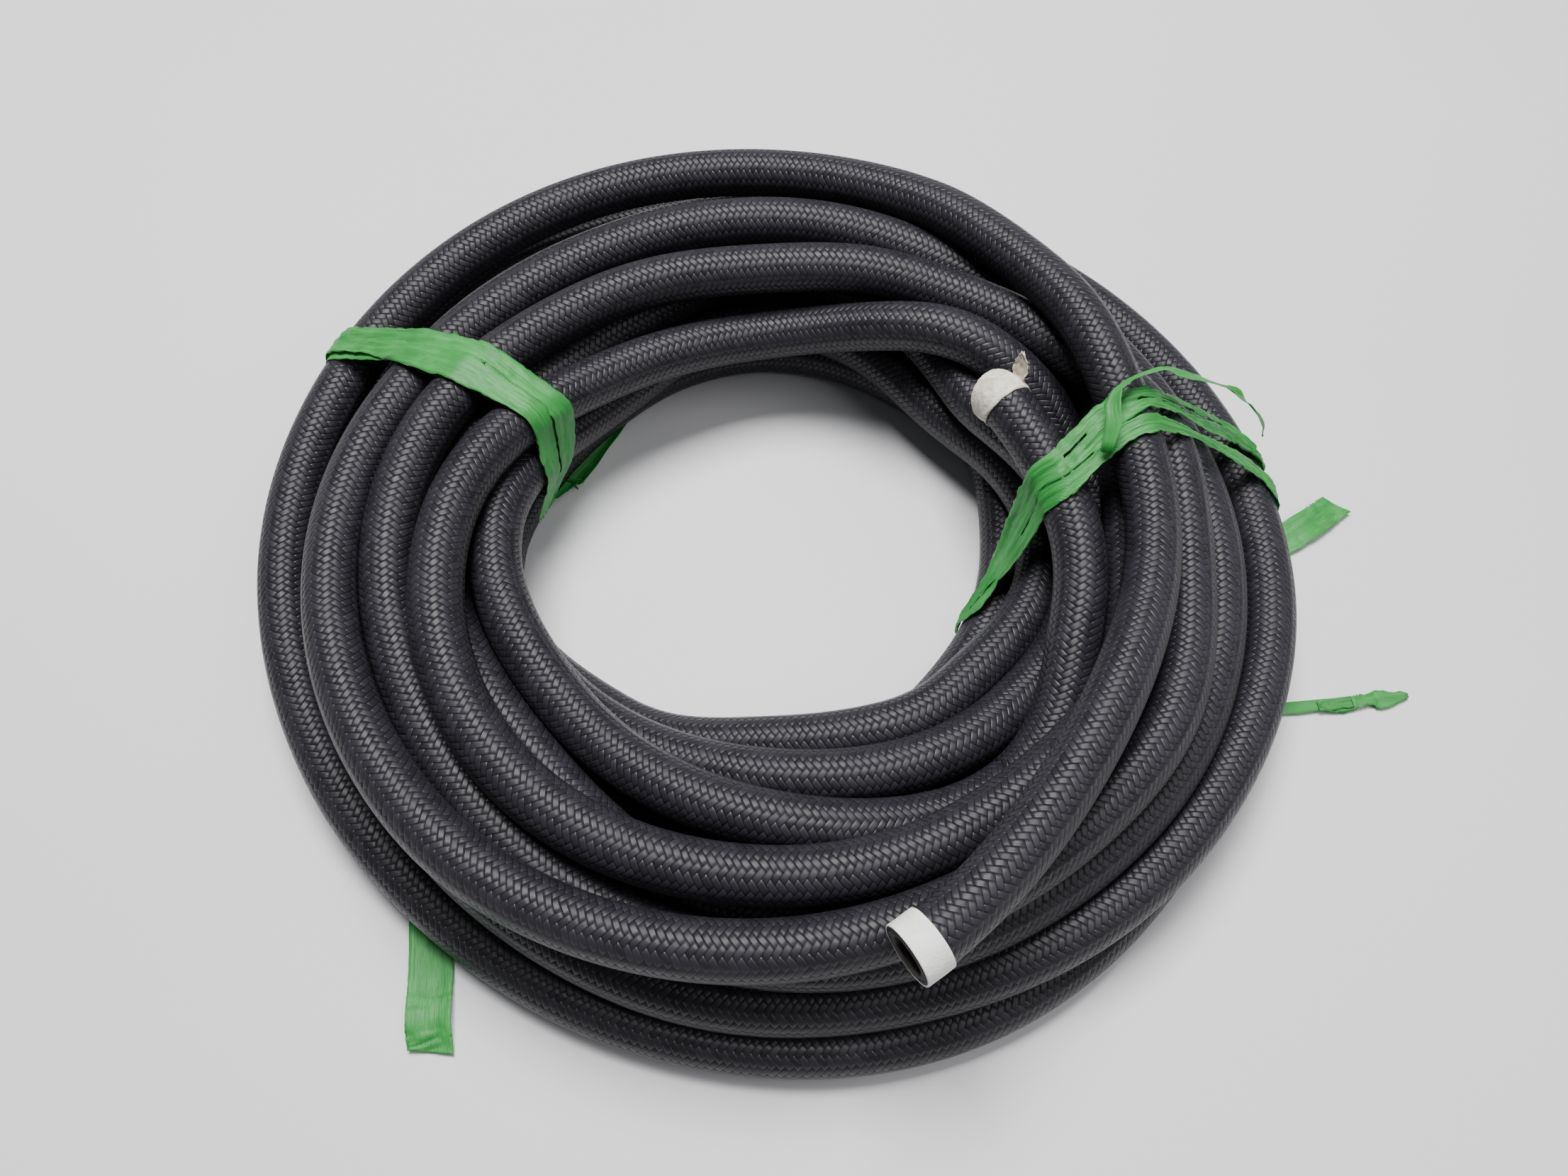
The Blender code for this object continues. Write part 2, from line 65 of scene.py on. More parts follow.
# The lay of the hose, one row for each turn from the outer end inwards: radius and height of its
# centre at 315, 0, 45, 90, 135, 180, 225 and 270 degrees.
TURNS = [
    [(7.1, 3.9), (6.9, 3.6), (7.2, 3.85), (8.75, 2.9), (9.45, 2.5), (9.6, 1.7), (9.05, .7), (9.1, .5)],
    [(9.25, .5), (9.2, .5), (8.4, .5), (7.75, .5), (7.95, .5), (7.85, .5), (7.1, .5), (5.9, .5)],
    [(6.1, .5), (6.2, .7), (6.3, 1.5), (6.65, 1.5), (6.3, 1.4), (5.6, 1.5), (4.85, 1.4), (4.8, 2.0)],
    [(5.45, 1.95), (5.8, 2.0), (5.2, 2.2), (6.3, 2.3), (5.9, 2.2), (6.4, 2.3), (6.15, 2.25), (7.2, 1.5)],
    [(7.45, 1.5), (7.2, 1.6), (5.5, 3.0), (4.95, 2.1), (4.9, 2.5), (5.9, 3.4), (6.75, 3.2), (6.8, 3.0)],
    [(6.85, 2.95), (6.75, 2.5), (7.3, 2.75), (7.15, 3.1), (7.5, 2.9), (8.1, 3.0), (8.25, 3.0), (8.0, 3.1)],
    [(7.75, 2.9), (7.5, 2.85), (6.45, 3.1), (5.7, 3.2), (6.15, 3.2), (7.1, 3.1), (7.4, 2.4), (8.0, 2.1)],
    [(8.4, 2.1), (8.5, 2.2), (8.15, 2.1), (8.4, 1.8), (8.65, 1.65), (8.3, 2.0), (8.3, 1.7), (8.5, 1.3)],
    [(9.1, 1.4), (9.75, 1.4), (9.45, 1.4), (9.5, 1.05), (9.5, 1.15), (9.0, .6), (8.1, .6), (8.05, .5)],
    [(8.25, .5), (8.3, .5), (7.4, .5), (7.65, 1.6), (7.55, 1.6), (7.3, 1.5), (7.1, 1.45), (7.05, .5)],
    [(7.2, .5), (7.3, .5), (6.4, .5), (6.7, .5), (6.9, .5), (6.8, .5), (6.1, .5), (4.8, .5)],
    [(4.3, .5), (4.9, .5), (5.4, .5), (5.7, .5), (5.45, .5), (5.7, .5), (4.55, .5), (3.92, 1.3)],
    [(4.6, 1.3), (5.3, 1.25), (5.3, 1.35), (5.7, 1.4), (5.0, 1.5), (5.35, 2.45), (5.15, 2.2), (5.75, 2.6)],
    [(6.5, 2.05), (5.50, 3.14)],
]
OUTER_TIP = [(283.5, 8.46, 4.10), (300.0, 7.62, 4.05)]       # (angle, radius, height)
INNER_TIP = [(9.0, 5.22, 3.28), (20.0, 5.02, 3.38), (30.0, 4.92, 3.34)]


def place(angle, radius, height):
    """Point in metres in the part's frame from angle in degrees, radius and height in D."""
    turn = np.radians(angle)
    flat = np.stack([radius * np.cos(turn), radius * np.sin(turn), height + 0.0 * turn], -1)
    return flat * D + COIL_CENTRE


# ---------------------------------------------------------------- camera
def add_camera():
    """Above the near side of the coil, looking down at 63 degrees."""
    data = bpy.data.cameras.new("camera")
    data.sensor_width = 36.0
    data.lens = 27.03
    camera = bpy.data.objects.new("camera", data)
    camera.location = COIL_CENTRE + np.array([0.0, -11.2, 22.0]) * D
    camera.rotation_euler = Euler([math.radians(a) for a in (26.744, -0.514, -0.001)])
    bpy.context.collection.objects.link(camera)
    bpy.context.scene.camera = camera


# ---------------------------------------------------------------- the hose's route
def smooth_through(key_at, key_values, at):
    """Values at each place by a smooth cubic through unevenly spaced keys."""
    slope = np.gradient(key_values, key_at, axis=0)
    k = np.clip(np.searchsorted(key_at, at, side="right") - 1, 0, len(key_at) - 2)
    span = key_at[k + 1] - key_at[k]
    t = ((at - key_at[k]) / span)[:, None]
    span = span[:, None]
    return (
        key_values[k] * (2 * t**3 - 3 * t**2 + 1)
        + slope[k] * span * (t**3 - 2 * t**2 + t)
        + key_values[k + 1] * (3 * t**2 - 2 * t**3)
        + slope[k + 1] * span * (t**3 - t**2)
    )


def chosen_route():
    """The whole hose from cut end to cut end: route angles, and (radius, height) at each."""
    angles, values = [stop[0] for stop in OUTER_TIP], [stop[1:] for stop in OUTER_TIP]
    for turn, row in enumerate(TURNS):
        for k, value in enumerate(row):
            angles.append(315.0 + 360.0 * turn + 45.0 * k)
            values.append(value)
    last = angles[-1]
    for angle, *value in INNER_TIP:
        angles.append(last + angle)
        values.append(value)
    angles, values = np.array(angles), np.array(values)
    at = np.append(np.arange(START_ANGLE, angles[-1] - 0.5, ROUTE_STEP), angles[-1])
    return at, smooth_through(angles, values, at)


def settle(at, chosen, rounds=600):
    """Lets the turns come to rest against each other and the floor, near where they were laid."""
    weight, hold, stiffness = 0.0015, 0.02, 0.06
    per_turn = round(360.0 / ROUTE_STEP)
    lay = chosen.copy()
    count = len(lay)
    pairs = []
    for shift in (0, 1, -1):
        for turns in range(1, len(TURNS)):
            first = np.arange(max(0, -shift), count - turns * per_turn - max(0, shift) - 1)
            if len(first):
                pairs.append((first, first + turns * per_turn + shift, abs(shift)))
    for _ in range(rounds):
        lay[:, 1] -= weight
        for _ in range(2):
            bend = lay[:-4] - 4 * lay[1:-3] + 6 * lay[2:-2] - 4 * lay[3:-1] + lay[4:]
            lay[2:-2] = lay[2:-2] - stiffness * bend
        lay += hold * (chosen - lay)
        for first, second, shift in pairs:
            apart = lay[second] - lay[first]
            along = 2 * np.pi * lay[first, 0] * shift * ROUTE_STEP / 360.0
            distance = np.sqrt((apart**2).sum(1) + along**2)
            close = distance < 1.0
            if close.any():
                across = np.maximum(np.hypot(*apart[close].T), 1e-6)[:, None]
                push = apart[close] / across * ((1.0 - distance[close]) * 0.3)[:, None]
                np.add.at(lay, second[close], push)
                np.add.at(lay, first[close], -push)
        lay[:, 1] = np.maximum(lay[:, 1], 0.5)
    return lay


route_angles, chosen = chosen_route()
settled = settle(route_angles, chosen)
END_ANGLE = float(route_angles[-1])


def hose_at(angles):
    """Points in metres on the hose's centre line at route angles."""
    lay = smooth_through(route_angles, settled, np.asarray(angles, float))
    return place(np.asarray(angles, float), lay[:, 0], lay[:, 1])


def centres_at(angle):
    """(radius, height) of every turn that passes an angle round the coil."""
    passes = angle % 360.0 + 360.0 * np.arange(len(TURNS) + 1)
    passes = passes[(passes >= START_ANGLE) & (passes <= END_ANGLE)]
    return np.stack([np.interp(passes, route_angles, settled[:, k]) for k in (0, 1)], 1)


# ---------------------------------------------------------------- shader nodes
class Nodes:
    """Short calls for building one material's node tree."""

    def __init__(self, name):
        self.material = bpy.data.materials.new(name)
        self.material.use_nodes = True
        self.tree = self.material.node_tree
        self.shader = self.tree.nodes["Principled BSDF"]

    def add(self, kind, **inputs):
        made = self.tree.nodes.new("ShaderNode" + kind)
        for key, value in inputs.items():
            self.put(made.inputs[key.replace("_", " ")], value)
        return made

    def put(self, socket, value):
        if isinstance(value, bpy.types.NodeSocket):
            self.tree.links.new(value, socket)
        else:
            socket.default_value = value

    def math(self, operation, *values, clamp=False):
        made = self.tree.nodes.new("ShaderNodeMath")
        made.operation = operation
        made.use_clamp = clamp
        for socket, value in zip(made.inputs, values):
            self.put(socket, value)
        return made.outputs[0]

    def ramp(self, value, stops):
        made = self.tree.nodes.new("ShaderNodeValToRGB")
        self.put(made.inputs[0], value)
        ends = made.color_ramp.elements
        while len(ends) < len(stops):
            ends.new(0.5)
        for end, (at, colour) in zip(ends, stops):
            end.position = at
            end.color = (*colour, 1.0)
        return made.outputs[0]

    def noise(self, scale, detail=3.0, vector=None, roughness=0.5):
        made = self.add("TexNoise", Scale=scale, Detail=detail, Roughness=roughness)
        if vector is not None:
            self.put(made.inputs["Vector"], vector)
        return made.outputs["Fac"]

    def object_place(self):
        return self.add("TexCoord").outputs["Object"]

    def combine(self, x, y, z=0.0):
        return self.add("CombineXYZ", X=x, Y=y, Z=z).outputs[0]

    def bump(self, height, distance):
        made = self.add("Bump", Distance=distance, Height=height)
        self.put(self.shader.inputs["Normal"], made.outputs[0])

    def finish(self, **inputs):
        for key, value in inputs.items():
            self.put(self.shader.inputs[key.replace("_", " ")], value)
        return self.material


COLUMNS = 16                # columns of stitches round the hose
STITCH = 0.0025             # pitch of the stitches along it


def stitch_family(nodes, u, v, side):
    """One set of strands: height of its stitches, painted shade for the gaps at their tips and edges, a
    number for each stitch, and its filaments.

    Its columns lie two apart, and x runs -1 to 1 between the middles of the columns beside it.
    Each stitch runs slanted over two strands of the other set and dives along their edges, so
    the columns meet in a zigzag.
    """
    offset, lean, phase = (0.25, 1.0, 0.0) if side > 0 else (-0.25, -1.0, 0.5)
    turned = nodes.math("MULTIPLY_ADD", u, 0.5, offset)
    x = nodes.math("MULTIPLY_ADD", nodes.math("FRACT", turned), 2.0, -1.0)
    along = nodes.math("ADD", nodes.math("MULTIPLY_ADD", x, lean, v), phase)
    across = nodes.math("SUBTRACT", nodes.math("FRACT", along), 0.5)
    run = nodes.math("MULTIPLY_ADD", across, -0.5 * lean, x)
    reach = nodes.math("MULTIPLY", nodes.math("MULTIPLY", run, run), 1.0 / 0.60**2)
    width = nodes.math("MULTIPLY_ADD", reach, -0.06, 0.53)
    off = nodes.math("DIVIDE", across, width)
    off = nodes.math("MULTIPLY", off, off)
    crown = nodes.math("SUBTRACT", 1.0, nodes.math("MULTIPLY", off, off), clamp=True)
    length = nodes.math("SUBTRACT", 1.0, nodes.math("POWER", reach, 1.8), clamp=True)
    height = nodes.math("MULTIPLY", length, nodes.math("MULTIPLY_ADD", crown, 0.34, 0.66))
    number = nodes.combine(nodes.math("FLOOR", turned), nodes.math("FLOOR", along), float(side))
    # Painted shade: 1 on a stitch's crown and falling to 0 at its tips and edges, to darken the colour
    # where the stitches dive between the strands.
    painted_gap_shade = nodes.math("MULTIPLY", length, crown)
    return height, painted_gap_shade, number, nodes.math("MULTIPLY", across, 2 * math.pi * 6.0)


def braid_material():
    """Black nylon, braided two over and two under: slanted leaf-shaped stitches in columns, with painted
    shade in the gaps between them.
    """
    nodes = Nodes("nylon_braid")
    map_ = nodes.add("UVMap")
    map_.uv_map = "braid"
    split = nodes.add("SeparateXYZ", Vector=map_.outputs[0])
    wander = nodes.noise(0.35, 2.0, map_.outputs[0])
    u = nodes.math("MULTIPLY_ADD", wander, 0.16, split.outputs[0])
    v = nodes.math("MULTIPLY_ADD", wander, 0.5, split.outputs[1])
    high, painted_gap_shade_a, number_a, lines_a = stitch_family(nodes, u, v, 1)
    low, painted_gap_shade_b, number_b, lines_b = stitch_family(nodes, u, v, -1)
    first_on_top = nodes.math("GREATER_THAN", high, low)
    height = nodes.math("MAXIMUM", high, low)
    painted_gap_shade = nodes.math("MAXIMUM", painted_gap_shade_a, painted_gap_shade_b)
    tones = [nodes.add("TexWhiteNoise", Vector=n).outputs["Value"] for n in (number_a, number_b)]
    tone = nodes.add("Mix", Factor=first_on_top, A=tones[1], B=tones[0]).outputs[0]
    lines = nodes.add("Mix", Factor=first_on_top, A=lines_b, B=lines_a).outputs[0]
    strands = nodes.math("MULTIPLY_ADD", nodes.math("COSINE", lines), 0.018, height)
    dust = nodes.noise(9.0, 4.0, nodes.object_place(), 0.6)
    # Painted shade: the colour goes near black in the gaps between stitches, and random tone and dust vary
    # it on the crowns.
    painted_gap_darkening = nodes.math("POWER", nodes.math("MULTIPLY", painted_gap_shade, 1.9, clamp=True), 0.9)
    painted_shade_dust_and_tone = nodes.math("MULTIPLY", painted_gap_darkening, nodes.math(
        "MULTIPLY_ADD", tone, 0.30, nodes.math("MULTIPLY_ADD", dust, 0.5, 0.50)))
    colour = nodes.ramp(painted_shade_dust_and_tone, [
        (0.0, (0.0006, 0.0006, 0.0007)), (0.4, (0.0045, 0.0042, 0.0054)), (1.0, (0.0185, 0.0175, 0.0230)),
    ])
    rough = nodes.math("MULTIPLY_ADD", tone, 0.12, 0.36)
    nodes.bump(strands, 0.00062)
    return nodes.finish(Base_Color=colour, Roughness=rough, Specular_IOR_Level=0.30)


def rubber_material():
    """Torn-looking brown-grey rubber of a hose sawn through."""
    nodes = Nodes("cut_rubber")
    spot = nodes.object_place()
    grain = nodes.noise(900.0, 5.0, spot, 0.7)
    cloud = nodes.noise(160.0, 3.0, spot)
    mixed = nodes.math("ADD", nodes.math("MULTIPLY", grain, 0.7), nodes.math("MULTIPLY", cloud, 0.4))
    colour = nodes.ramp(mixed, [
        (0.3, (0.016, 0.013, 0.012)), (0.6, (0.065, 0.052, 0.045)), (0.85, (0.15, 0.125, 0.11)),
    ])
    nodes.bump(grain, 0.0005)
    return nodes.finish(Base_Color=colour, Roughness=0.85)


def bore_material():
    nodes = Nodes("bore_rubber")
    grain = nodes.noise(400.0, 3.0, nodes.object_place())
    colour = nodes.ramp(grain, [(0.3, (0.006, 0.006, 0.006)), (0.7, (0.016, 0.015, 0.014))])
    nodes.bump(grain, 0.0001)
    return nodes.finish(Base_Color=colour, Roughness=0.6)


def ribbon_material():
    """Green plastic film, drawn lengthwise, with scuffs and lighter creases."""
    nodes = Nodes("ribbon_film")
    map_ = nodes.add("UVMap")
    map_.uv_map = "film"
    split = nodes.add("SeparateXYZ", Vector=map_.outputs[0])
    u, v = split.outputs[0], split.outputs[1]
    fine = nodes.noise(1.0, 4.0, nodes.combine(
        nodes.math("MULTIPLY", u, 1500.0), nodes.math("MULTIPLY", v, 60.0)), 0.6)
    broad = nodes.noise(1.0, 3.0, nodes.combine(
        nodes.math("MULTIPLY", u, 420.0), nodes.math("MULTIPLY", v, 45.0)))
    cloud = nodes.noise(75.0, 4.0, nodes.object_place(), 0.6)
    mixed = nodes.math("MULTIPLY_ADD", fine, 0.35, nodes.math(
        "MULTIPLY_ADD", broad, 0.35, nodes.math("MULTIPLY", cloud, 0.4)))
    colour = nodes.ramp(mixed, [
        (0.33, (0.013, 0.125, 0.022)), (0.55, (0.026, 0.215, 0.040)), (0.78, (0.075, 0.36, 0.090)),
    ])
    nodes.bump(nodes.math("ADD", fine, broad), 0.00035)
    rough = nodes.math("MULTIPLY_ADD", cloud, 0.30, 0.33)
    return nodes.finish(
        Base_Color=colour, Roughness=rough, Specular_IOR_Level=0.36,
        Subsurface_Weight=0.12, Subsurface_Radius=(0.0006, 0.0015, 0.0006), Subsurface_Scale=1.0,
    )


def tape_material(name, light, dark, crumple):
    """Paper tape: fine crepe across the hose, soft stains, and colour that is darker in the hollows of the
    folds.
    """
    nodes = Nodes(name)
    spot = nodes.object_place()
    stain = nodes.noise(180.0, 5.0, spot, 0.65)
    crepe = nodes.noise(1400.0, 3.0, spot, 0.6)
    folds = nodes.noise(420.0, 4.0, spot, 0.6)
    # The colour follows the fold noise that also drives the bump: darker in the hollows of the folds.
    mixed = nodes.math("MULTIPLY_ADD", folds, crumple, nodes.math("MULTIPLY", stain, 1.0 - crumple))
    colour = nodes.ramp(mixed, [(0.30, dark), (0.62, light)])
    nodes.bump(nodes.math("MULTIPLY_ADD", folds, crumple * 2.0, crepe), 0.00025)
    return nodes.finish(Base_Color=colour, Roughness=0.72, Specular_IOR_Level=0.35)


def floor_material():
    nodes = Nodes("pale_floor")
    cloud = nodes.noise(1.6, 4.0, nodes.object_place(), 0.5)
    colour = nodes.ramp(cloud, [(0.3, (0.63, 0.63, 0.645)), (0.7, (0.68, 0.68, 0.695))])
    return nodes.finish(Base_Color=colour, Roughness=0.55, Specular_IOR_Level=0.3)


BRAID = braid_material()
RUBBER = rubber_material()
BORE_RUBBER = bore_material()
RIBBON = ribbon_material()
SMOOTH_TAPE = tape_material("smooth_tape", (0.88, 0.87, 0.85), (0.74, 0.73, 0.70), 0.25)
CRUMPLED_TAPE = tape_material("crumpled_tape", (0.78, 0.74, 0.64), (0.40, 0.35, 0.27), 0.7)


# ---------------------------------------------------------------- meshes
def add_mesh(name, points, faces, material, uv, uv_name, flat=()):
    """A mesh object. uv holds one pair for each face corner, and flat lists flat-shaded faces."""
    mesh = bpy.data.meshes.new(name)
    mesh.from_pydata([tuple(p) for p in points], [], faces)
    mesh.materials.append(material)
    smooth = np.ones(len(faces), bool)
    smooth[list(flat)] = False
    mesh.polygons.foreach_set("use_smooth", smooth)
    layer = mesh.uv_layers.new(name=uv_name)
    layer.data.foreach_set("uv", np.asarray(uv, np.float32).ravel())
    mesh.update()
    made = bpy.data.objects.new(name, mesh)
    bpy.context.collection.objects.link(made)
    return made


def frames(line):
    """Sideways and upward directions along a line that never stands upright."""
    ahead = np.gradient(line, axis=0)
    ahead /= np.linalg.norm(ahead, axis=1)[:, None]
    side = np.cross(ahead, [0.0, 0.0, 1.0])
    side /= np.linalg.norm(side, axis=1)[:, None]
    return side, np.cross(side, ahead), ahead


HOSE_SIDES = 28
ROW_LENGTH = 0.26 * D       # between the rings of points along the hose
END_SIDES = 56
BORE_DEPTH = 0.036          # how far up from a cut end the bore is open
COVER_RADIUS = 0.0077       # where the braided cover meets the rubber at a cut end


class Line:
    """A stretch of the hose's centre line, from start to end, with frames at any distance."""

    def __init__(self, start, end):
        step = 1.0 if end > start else -1.0
        points = hose_at(np.append(np.arange(start, end, step), end))
        run = np.concatenate([[0.0], np.cumsum(np.linalg.norm(np.diff(points, axis=0), axis=1))])
        self.length = run[-1]
        count = max(8, round(self.length / ROW_LENGTH))
        self.at = np.linspace(0.0, self.length, count + 1)
        self.points = np.stack([np.interp(self.at, run, points[:, k]) for k in range(3)], 1)
        self.side, self.up, self.ahead = frames(self.points)
        tip = hose_at(np.arange(START_ANGLE, start + 0.5, 0.5))
        self.before = np.linalg.norm(np.diff(tip, axis=0), axis=1).sum()
        self.way = step

    def frame(self, distance):
        """Point, side and up at a distance along the line, straight on beyond its ends."""
        inside = min(max(distance, 0.0), self.length)
        picked = [
            np.array([np.interp(inside, self.at, rows[:, k]) for k in range(3)])
            for rows in (self.points, self.side, self.up, self.ahead)
        ]
        point, side, up, ahead = picked
        return point + (distance - inside) * ahead, side, up


def sweep(name, line, rings, material, sides, closed=False, shape=None, flat=()):
    """A skin swept along the hose. rings is (distance, radius) for each ring, joined in order,
    in a loop if closed or with a disc at both ends. shape(distance, radius, turn) moves a point
    out.
    flat lists the joins between rings that are shaded flat, such as a cut face."""
    points, faces, uv = [], [], []
    turn = 2 * np.pi * np.arange(sides) / sides
    for distance, radius in rings:
        middle, side, up = line.frame(distance)
        out = np.cos(turn)[:, None] * side + np.sin(turn)[:, None] * up
        reach = np.full(sides, radius)
        if shape is not None:
            reach = reach + np.array([shape(distance, radius, t) for t in turn])
        points += list(middle + reach[:, None] * out)
    joins = len(rings) if closed else len(rings) - 1
    flat_faces = []
    for i in range(joins):
        a, b = i * sides, ((i + 1) % len(rings)) * sides
        v0 = (line.before + line.way * rings[i][0]) / STITCH
        v1 = (line.before + line.way * rings[(i + 1) % len(rings)][0]) / STITCH
        for k in range(sides):
            beside = (k + 1) % sides
            if i in flat:
                flat_faces.append(len(faces))
            faces.append((a + k, b + k, b + beside, a + beside))
            u0, u1 = (line.way * COLUMNS * j / sides for j in (k, k + 1))
            uv += [(u0, v0), (u0, v1), (u1, v1), (u1, v0)]
    if not closed:
        last = (len(rings) - 1) * sides
        flat_faces += [len(faces), len(faces) + 1]
        faces.append(tuple(range(sides)))
        faces.append(tuple(last + k for k in reversed(range(sides))))
        uv += [(0.0, 0.0)] * (2 * sides)
    return add_mesh(name, points, faces, material, uv, "braid", flat_faces)


def build_turns():
    """The coiled hose, a piece for each turn, joined under the left-hand tie."""
    joints = [OUTER_SEAM] + [LEFT_TIE + 360.0 * k for k in range(1, len(TURNS))] + [INNER_SEAM]
    for number, (start, end) in enumerate(zip(joints, joints[1:]), 1):
        line = Line(start, end)
        rings = [(s, 0.5 * D) for s in line.at]
        piece = sweep(f"hose_turn_{number:02d}", line, rings, BRAID, HOSE_SIDES)
        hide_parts("hose_coil", "outer_run", "inner_run")
        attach(piece, "coil")


def torn_rubber(distance, radius, turn):
    """How far a sawn rubber face strays from a true circle."""
    return 0.00028 * noise.noise(Vector((radius * 1200.0, turn * 7.0, distance * 300.0)))


def build_end(body, seam, tip):
    """One free end: braided cover, rubber tube and its bore, up to the taped cut."""
    line = Line(seam, tip)
    full = line.length
    inside = np.linspace(full, full - BORE_DEPTH, 10)
    rings = [(s, 0.5 * D) for s in line.at] + [(s, COVER_RADIUS) for s in inside]
    cover = sweep(f"{body}_hose", line, rings, BRAID, HOSE_SIDES, flat=(len(line.at) - 1,))
    runs = ["outer_run"] if body == "outer_end" else ["inner_run"]
    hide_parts(f"{body}_cover", *runs)

    wall, bore = COVER_RADIUS - 0.00005, 0.5 * BORE
    deep = full - BORE_DEPTH + 0.0005
    bore_rings = 8
    face = [(full - 0.0002, wall), (full + 0.0001, wall - 0.0003), (full - 0.0001, wall - 0.0008),
            (full + 0.0001, wall - 0.0013), (full - 0.0001, bore + 0.0002), (full - 0.0006, bore)]
    rings = [(s, wall) for s in np.linspace(deep, full - 0.004, 8)] + face
    rings += [(s, bore) for s in np.linspace(full - 0.003, deep + 0.002, bore_rings)]
    rubber = sweep(f"{body}_rubber", line, rings, RUBBER, END_SIDES, shape=torn_rubber)
    rubber.data.materials.append(BORE_RUBBER)
    outer_disc = len(rubber.data.polygons) - 2      # hidden up inside the cover
    for polygon in rubber.data.polygons:
        if polygon.index >= (len(rings) - bore_rings - 1) * END_SIDES:
            polygon.material_index = int(polygon.index != outer_disc)
    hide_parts(f"{body}_liner")
    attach(rubber, body)

    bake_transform(cover)
    return cover, rubber, line


def smooth_band(distance, radius, turn):
    """Two turns of tape, so it is a layer thicker over half the hose, and lies a little wavy."""
    layer = 0.00022 if 0.6 < turn < 4.2 else 0.0
    wave = 0.00012 * noise.noise(Vector((turn * 1.3, distance * 260.0, 4.0)))
    return layer + wave if radius > 0.5 * D + 0.0002 else 0.0


def crumpled_band(distance, radius, turn):
    """Hand-torn tape pressed on in folds."""
    fold = noise.noise(Vector((turn * 3.1, distance * 420.0, 1.5)))
    fine = noise.noise(Vector((turn * 11.0, distance * 1500.0, 8.0)))
    return 0.00042 * abs(fold) + 0.00018 * fine if radius > 0.5 * D + 0.0002 else 0.0


def build_tape(body, node, line, material, shape, ragged):
    """The ring of tape round a cut end. ragged is how far its back edge strays."""
    full = line.length
    start = full - TAPE_LENGTH
    outer = 0.5 * D + 0.00042
    rings = [(start, 0.5 * D + 0.00004), (start, outer)]
    rings += [(s, outer) for s in np.linspace(start + 0.0006, full - 0.0002, 9)]
    rings += [(full, outer - 0.0001), (full, 0.5 * D + 0.00004)]
    band = sweep(f"{body}_tape_band", line, rings, material, END_SIDES, closed=True, shape=shape)
    back, _, _ = line.frame(start)
    for vertex in band.data.vertices:
        if np.dot(np.array(vertex.co) - back, line.ahead[-1]) < 0.0012:
            shift = ragged * noise.noise(vertex.co * 420.0)
            vertex.co = vertex.co + Vector(line.ahead[-1] * shift)
    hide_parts(node)
    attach(band, body)
    return band


# ---------------------------------------------------------------- thin sheets
def add_film(name, points, faces, uv, material, thickness):
    """A sheet with a front, a back and edges. uv is one pair for each point."""
    points = np.asarray(points, float)
    faces = [tuple(f) for f in faces]
    normal = np.zeros_like(points)
    for face in faces:
        corner = points[list(face)]
        turned = np.cross(corner[2] - corner[0], corner[-1] - corner[1])
        for k in face:
            normal[k] += turned
    normal /= np.maximum(np.linalg.norm(normal, axis=1), 1e-12)[:, None]
    count = len(points)
    both = np.concatenate([points + 0.5 * thickness * normal, points - 0.5 * thickness * normal])
    edges = {}
    for face in faces:
        for a, b in zip(face, face[1:] + face[:1]):
            edges[(a, b)] = True
    solid = list(faces) + [tuple(count + k for k in reversed(f)) for f in faces]
    for a, b in edges:
        if (b, a) not in edges:
            solid.append((b, a, count + a, count + b))
    both[:, 2] = np.maximum(both[:, 2], 0.00002)
    corners = [uv[k % count] for face in solid for k in face]
    used = sorted({k for face in solid for k in face})
    new = {k: i for i, k in enumerate(used)}
    solid = [tuple(new[k] for k in face) for face in solid]
    film = add_mesh(name, both[used], solid, material, corners, "film")
    return film


def outline(angle):
    """The tied bundle's outline at an angle, from the outer foot over the top to the inner one:
    (radius, height) for each degree of facing, and the facings in radians."""
    centres = centres_at(angle)
    look = np.radians(np.arange(-90.0, 270.5, 1.0))
    way = np.stack([np.cos(look), np.sin(look)], 1)
    best = (centres @ way.T - 1e-6 * np.sign(look - 1.5)[None] * centres[:, :1]).argmax(0)
    return centres[best] + 0.5 * way, look


def on_bundle(angle, radius, height, outlines):
    """The nearest place on the tied bundle to a point, and the way it faces there."""
    key = round(angle * 5)
    if key not in outlines:
        outlines[key] = outline(key / 5.0)
    line, look = outlines[key]
    step = line[1:] - line[:-1]
    share = ((np.array([radius, height]) - line[:-1]) * step).sum(1)
    share = np.clip(share / np.maximum((step**2).sum(1), 1e-12), 0.0, 1.0)
    near = line[:-1] + share[:, None] * step
    k = ((near - [radius, height]) ** 2).sum(1).argmin()
    face = look[k] + (look[k + 1] - look[k]) * share[k]
    return near[k], np.array([math.cos(face), math.sin(face)])


ROW = 0.10                  # D between rows of a ribbon laid on the hoses
UNDER_ROWS = 14             # rows of it under the coil


